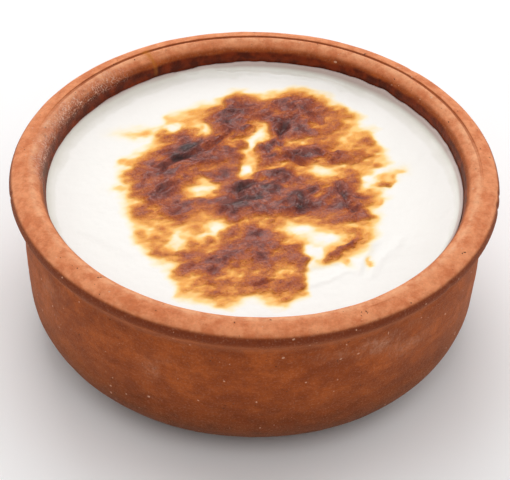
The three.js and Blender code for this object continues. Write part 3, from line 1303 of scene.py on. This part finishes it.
@dataclass(frozen=True)
class FiredClay:
    """Unglazed terracotta with a dark milk glaze baked on inside; the lip is paler as wear and painted top
    light, with painted shade under the lip, in the groove and towards the foot, and painted glints on the
    wet bead.
    """

    wall: Colour = linear(184, 92, 38)
    wall_deep: Colour = linear(138, 63, 27)
    # painted shade towards the foot
    foot: Colour = linear(56, 24, 8)
    # painted shade under the lip
    under_lip_shade: Colour = linear(120, 52, 24)
    # pale lip crown: wear plus painted top light and sheen
    worn_and_lit: Colour = linear(240, 156, 108)
    worn_and_lit_deep: Colour = linear(216, 124, 78)
    # crest: rubbed clay plus painted highlight
    crest: Colour = linear(246, 178, 134)
    dust: Colour = linear(226, 180, 150)
    pit: Colour = linear(60, 28, 18)
    glaze: Colour = linear(128, 46, 12)
    glaze_deep: Colour = linear(84, 26, 6)
    # colour of the painted glints on the wet bead
    painted_glint: Colour = linear(250, 206, 182)
    drip: Colour = linear(200, 118, 44)
    # strength of the painted shade towards the foot
    foot_shade_share: float = 0.85
    # strength of the painted shade in the groove
    groove_shade_share: float = 0.7
    grain_share: float = 0.12
    fleck_share: float = 0.7
    pit_share: float = 0.85
    wet_share: float = 0.25
    # strength of the painted glints
    glint_share: float = 0.75
    drip_share: float = 0.85
    gloss: float = 0.45
    glaze_gloss: float = 0.3
    surface: tuple[Setting, ...] = (
        ("Roughness", 0.75),
        ("Specular IOR Level", 0.12),
        ("Sheen Weight", 0.16),
        ("Sheen Roughness", 0.4),
        ("Sheen Tint", (1.0, 0.66, 0.42, 1.0)),
        ("Coat Roughness", 0.28),
    )
    grain_depth: float = 0.26
    line_depth: float = 0.14
    pit_depth: float = -0.3
    sticky_depth: float = 1.0

    def clay(self, graph: ShaderGraph) -> Socket:
        """Mixes the tones of the bare clay: clouds, throwing bands, wear with painted top light on the lip,
        a painted highlight on the bead's crest, and painted shade under the lip, in the groove and towards
        the foot.

        Args:
            graph: The material that takes them.

        Returns:
            The socket with the clay's colour.
        """
        cloud = graph.noise(11.0, 5.0, 0.62)
        bands = graph.noise(4.0, 5.0, 0.7, graph.stretched((0.6, 0.6, 1.2)))
        tone = graph.ranged(graph.maths("ADD", cloud, bands), 0.72, 1.28)
        wall = graph.mixed(tone, self.wall_deep, self.wall)
        # painted shade: darker towards the foot
        wall = graph.mixed(graph.times(graph.value("low"), self.foot_shade_share), wall, self.foot)
        # painted shade on the lip's outer face
        wall = graph.mixed(graph.value("painted_lip_shade"), wall, self.under_lip_shade)
        patch = graph.noise(3.6, 5.0, 0.66, graph.stretched((1.0, 1.0, 1.6)))
        # crown tone: wear plus painted top light, varied by noise
        worn_and_lit = graph.mixed(graph.ranged(patch, 0.34, 0.64), self.worn_and_lit_deep, self.worn_and_lit)
        # painted highlight along the bead's crest, broken by rubbing noise
        crest_rub_and_highlight = graph.times(graph.value("crest"), graph.ranged(patch, 0.4, 0.6, 0.25, 0.8))
        worn_and_lit = graph.mixed(crest_rub_and_highlight, worn_and_lit, self.crest)
        # painted shade in the groove
        worn_and_lit = graph.mixed(graph.times(graph.value("grooved"), self.groove_shade_share), worn_and_lit, self.wall_deep)
        # the upward-facing lip takes the pale tone: wear and painted top light
        clay = graph.mixed(graph.value("worn_and_lit"), wall, worn_and_lit)
        mottle = graph.ranged(graph.noise(1.8, 6.0, 0.85), 0.4, 0.64)
        mottle = graph.times(mottle, graph.ranged(graph.value("worn_and_lit"), 0.0, 1.0, 0.55, 0.18))
        clay = graph.mixed(mottle, clay, self.wall_deep)
        grain = graph.ranged(graph.noise(0.5, 2.0, 0.7), 0.5, 0.72)
        return graph.mixed(graph.times(grain, self.grain_share), clay, self.dust)

    def dress(self, piece: bpy.types.Object) -> None:
        """Gives the piece this finish."""
        graph = ShaderGraph("fired_clay")
        clay = self.clay(graph)
        pale = graph.ranged(graph.noise(1.1, 0.0, 0.0), 0.83, 0.86)
        rubbed = graph.ranged(graph.noise(1.2, 5.0, 0.8), 0.38, 0.7, 0.1, 0.75)
        rubbed = graph.times(rubbed, graph.value("scuffed"))
        dust = graph.maths("MAXIMUM", graph.times(pale, self.fleck_share), rubbed)
        clay = graph.mixed(dust, clay, self.dust)
        pits = graph.ranged(graph.noise(1.1, 2.0, 0.5, graph.stretched((1.0, 1.0, 1.4))), 0.725, 0.75)
        clay = graph.mixed(graph.times(pits, self.pit_share), clay, self.pit)
        glaze_tone = graph.ranged(graph.noise(3.0, 3.0, 0.6), 0.35, 0.65)
        glaze = graph.mixed(glaze_tone, self.glaze_deep, self.glaze)
        glazed, wet, drip = (graph.value(key) for key in ("glaze", "wet", "drip"))
        clay = graph.mixed(graph.times(wet, self.wet_share), clay, self.glaze)
        colour = graph.mixed(glazed, clay, glaze)
        clumps = graph.ranged(graph.noise(2.6, 2.0, 0.6), 0.38, 0.58, 0.35, 1.0)
        # painted glints: pale specks clumped over the wet bead
        painted_glints = graph.times(graph.ranged(graph.noise(0.45, 2.0, 0.6), 0.45, 0.66), clumps)
        painted_glints = graph.times(graph.times(painted_glints, wet), self.glint_share)
        colour = graph.mixed(painted_glints, colour, self.painted_glint)
        colour = graph.mixed(graph.times(drip, self.drip_share), colour, self.drip)
        graph.link(colour, graph.shader.inputs["Base Color"])
        graph.fixed(self.surface)
        gloss = graph.maths("MAXIMUM", graph.times(glazed, self.glaze_gloss), wet)
        graph.link(graph.times(gloss, self.gloss), graph.shader.inputs["Coat Weight"])
        grain = graph.noise(0.6, 5.0, 0.75)
        lines = graph.noise(2.0, 3.0, 0.6, graph.stretched((0.04, 0.04, 1.6)))
        sticky = graph.times(graph.noise(0.9, 2.0, 0.6), wet)
        graph.bump([(grain, self.grain_depth), (lines, self.line_depth),
                    (pits, self.pit_depth), (sticky, self.sticky_depth)])
        piece.data.materials.append(graph.material)


@dataclass(frozen=True)
class MilkSkin:
    """Set milk whose skin runs from white through gold and rust to burnt purple-brown, with painted glint
    specks in the crust and grey near the wall that is thin film and painted shade.
    """

    bakes: tuple[tuple[float, Colour], ...] = (
        (0.0, linear(245, 242, 237)),
        (0.04, linear(249, 236, 206)),
        (0.1, linear(252, 208, 124)),
        (0.17, linear(250, 174, 70)),
        (0.27, linear(236, 138, 50)),
        (0.4, linear(208, 104, 50)),
        (0.53, linear(176, 80, 50)),
        (0.65, linear(144, 62, 44)),
        (0.8, linear(112, 44, 34)),
        (1.0, linear(68, 24, 18)),
    )
    # grey of the thin film near the wall, partly painted shade
    film: Colour = linear(208, 204, 188)
    edge: Colour = linear(186, 162, 156)
    surface: tuple[Setting, ...] = (
        ("Roughness", 0.42),
        ("Specular IOR Level", 0.36),
        ("Coat Roughness", 0.14),
    )
    film_and_shade_share: float = 0.6
    edge_share: float = 0.8
    jitter_share: float = 0.34
    gloss: float = 0.1
    crust_gloss: float = 0.4
    smooth_depth: float = 0.18
    rough_depth: float = 1.7

    def dress(self, piece: bpy.types.Object) -> None:
        """Gives the piece this finish."""
        graph = ShaderGraph("baked_milk_skin")
        baked = graph.value("baked")
        grain = graph.noise(0.7, 3.0, 0.6)
        crust = graph.ranged(baked, 0.1, 0.4)
        jitter = graph.times(graph.maths("SUBTRACT", grain, 0.5), self.jitter_share)
        # painted glints: pale specks in the crust
        painted_glint_specks = graph.ranged(graph.noise(0.5, 1.0, 0.5), 0.62, 0.76, 0.0, -0.1)
        jitter = graph.maths("ADD", jitter, painted_glint_specks)
        shade = graph.maths("ADD", baked, graph.times(jitter, crust))
        colour = graph.ramp(shade, self.bakes)
        # thin film and painted shade near the wall and in the wrinkles
        colour = graph.mixed(graph.times(graph.value("film"), self.film_and_shade_share), colour, self.film)
        colour = graph.mixed(graph.times(graph.value("edge"), self.edge_share), colour, self.edge)
        graph.link(colour, graph.shader.inputs["Base Color"])
        graph.fixed(self.surface)
        burnt = graph.times(graph.ranged(baked, 0.3, 0.6), self.crust_gloss)
        graph.link(graph.maths("ADD", burnt, self.gloss), graph.shader.inputs["Coat Weight"])
        rough_skin = graph.times(graph.noise(0.8, 3.0, 0.7), crust)
        smooth_skin = graph.noise(2.5, 4.0, 0.55)
        graph.bump([(smooth_skin, self.smooth_depth), (rough_skin, self.rough_depth)])
        piece.data.materials.append(graph.material)


@dataclass(frozen=True)
class Softbox:
    """A square studio light: its direction from the dish, how far off and how large it is."""

    name: str
    azimuth: float
    elevation: float
    distance: float
    size: float
    power: float

    def hang(self, aim: Vector) -> None:
        """Hangs the light so that it faces the dish."""
        data = bpy.data.lights.new(self.name, "AREA")
        data.shape = "SQUARE"
        data.size = self.size
        data.energy = self.power
        lamp = bpy.data.objects.new(self.name, data)
        turn, rise = math.radians(self.azimuth), math.radians(self.elevation)
        towards = Vector((math.sin(turn) * math.cos(rise), math.cos(turn) * math.cos(rise), math.sin(rise)))
        lamp.location = aim + towards * self.distance
        lamp.rotation_euler = towards.to_track_quat("Z", "Y").to_euler()
        bpy.context.scene.collection.objects.link(lamp)


@dataclass(frozen=True)
class Studio:
    """The camera, a pale floor and soft light round the dish."""

    elevation: float = math.radians(40.2)
    roll: float = math.radians(1.4)
    distance: float = 0.9
    lens: float = 255.0
    aim_share: float = 0.53
    aim_right: float = 0.45 * MM
    floor_radius: float = 3.0
    floor_corners: int = 64
    floor_tone: float = 0.95
    ambient: float = 0.56
    softboxes: tuple[Softbox, ...] = (
        Softbox("overhead", 0.0, 76.0, 1.1, 0.7, 2.45),
        Softbox("back", -8.0, 42.0, 1.3, 0.7, 3.6),
        Softbox("left", -48.0, 16.0, 1.2, 0.7, 2.9),
        Softbox("right", 50.0, 16.0, 1.2, 0.7, 3.1),
        Softbox("front_fill", 166.0, 56.0, 1.4, 0.9, 2.4),
    )

    def set_up(self, low: Vector, high: Vector) -> None:
        """Makes the camera, floor and lights for an object in this box.

        Args:
            low: Lowest corner of the object's box, in metres.
            high: Highest corner of the object's box, in metres.
        """
        middle = (low + high) / 2.0
        aim = Vector((middle.x + self.aim_right, middle.y, low.z + self.aim_share * (high.z - low.z)))
        self.make_camera(aim)
        self.make_floor(low.z)
        for softbox in self.softboxes:
            softbox.hang(aim)
        world = bpy.data.worlds.new("studio")
        world.use_nodes = True
        background = world.node_tree.nodes["Background"]
        background.inputs["Color"].default_value = (1.0, 1.0, 1.0, 1.0)
        background.inputs["Strength"].default_value = self.ambient
        bpy.context.scene.world = world
        bpy.context.scene.view_settings.view_transform = "Standard"

    def make_camera(self, aim: Vector) -> None:
        """Puts the camera in front of the dish, looking down on it."""
        data = bpy.data.cameras.new("camera")
        data.lens = self.lens
        data.clip_end = 20.0
        camera = bpy.data.objects.new("camera", data)
        back = Vector((0.0, -math.cos(self.elevation), math.sin(self.elevation)))
        tilt = Matrix.Rotation(math.pi / 2.0 - self.elevation, 4, "X")
        roll = Matrix.Rotation(self.roll, 4, "Z")
        camera.matrix_world = Matrix.Translation(aim + back * self.distance) @ tilt @ roll
        bpy.context.scene.collection.objects.link(camera)
        bpy.context.scene.camera = camera

    def make_floor(self, height: float) -> None:
        """Lays a round pale floor under the dish."""
        count = self.floor_corners
        angle = np.linspace(0.0, 2.0 * np.pi, count, endpoint=False)
        rim = np.column_stack([np.cos(angle), np.sin(angle), np.zeros(count)]) * self.floor_radius
        rim[:, 2] = height
        floor = mesh_piece("floor", rim / MM, [np.arange(count)[None, :]], {})
        graph = ShaderGraph("pale_floor")
        tone = self.floor_tone
        graph.fixed([("Base Color", (tone, tone, tone, 1.0)), ("Roughness", 0.9)])
        floor.data.materials.append(graph.material)


def settle(piece: bpy.types.Object, node: Node) -> None:
    """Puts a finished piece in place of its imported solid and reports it."""
    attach(piece, "root")
    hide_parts(node.value)
    LOG.info("%s: %d points, %d faces", piece.name, len(piece.data.vertices), len(piece.data.polygons))


def main() -> None:
    """Builds the dish and the studio."""
    logging.basicConfig(level=logging.INFO)
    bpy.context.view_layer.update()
    low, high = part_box(Node.BOWL.value)
    throwing = Throwing.fitted(low, high)
    cavity = Cavity()
    Studio().set_up(low, high)
    bowl = TerracottaBowl(throwing, cavity).build()
    FiredClay().dress(bowl)
    settle(bowl, Node.BOWL)
    pudding = Pudding(throwing, cavity, BrownedSkin()).build()
    MilkSkin().dress(pudding)
    settle(pudding, Node.PUDDING)


if __name__ == "__main__":
    main()
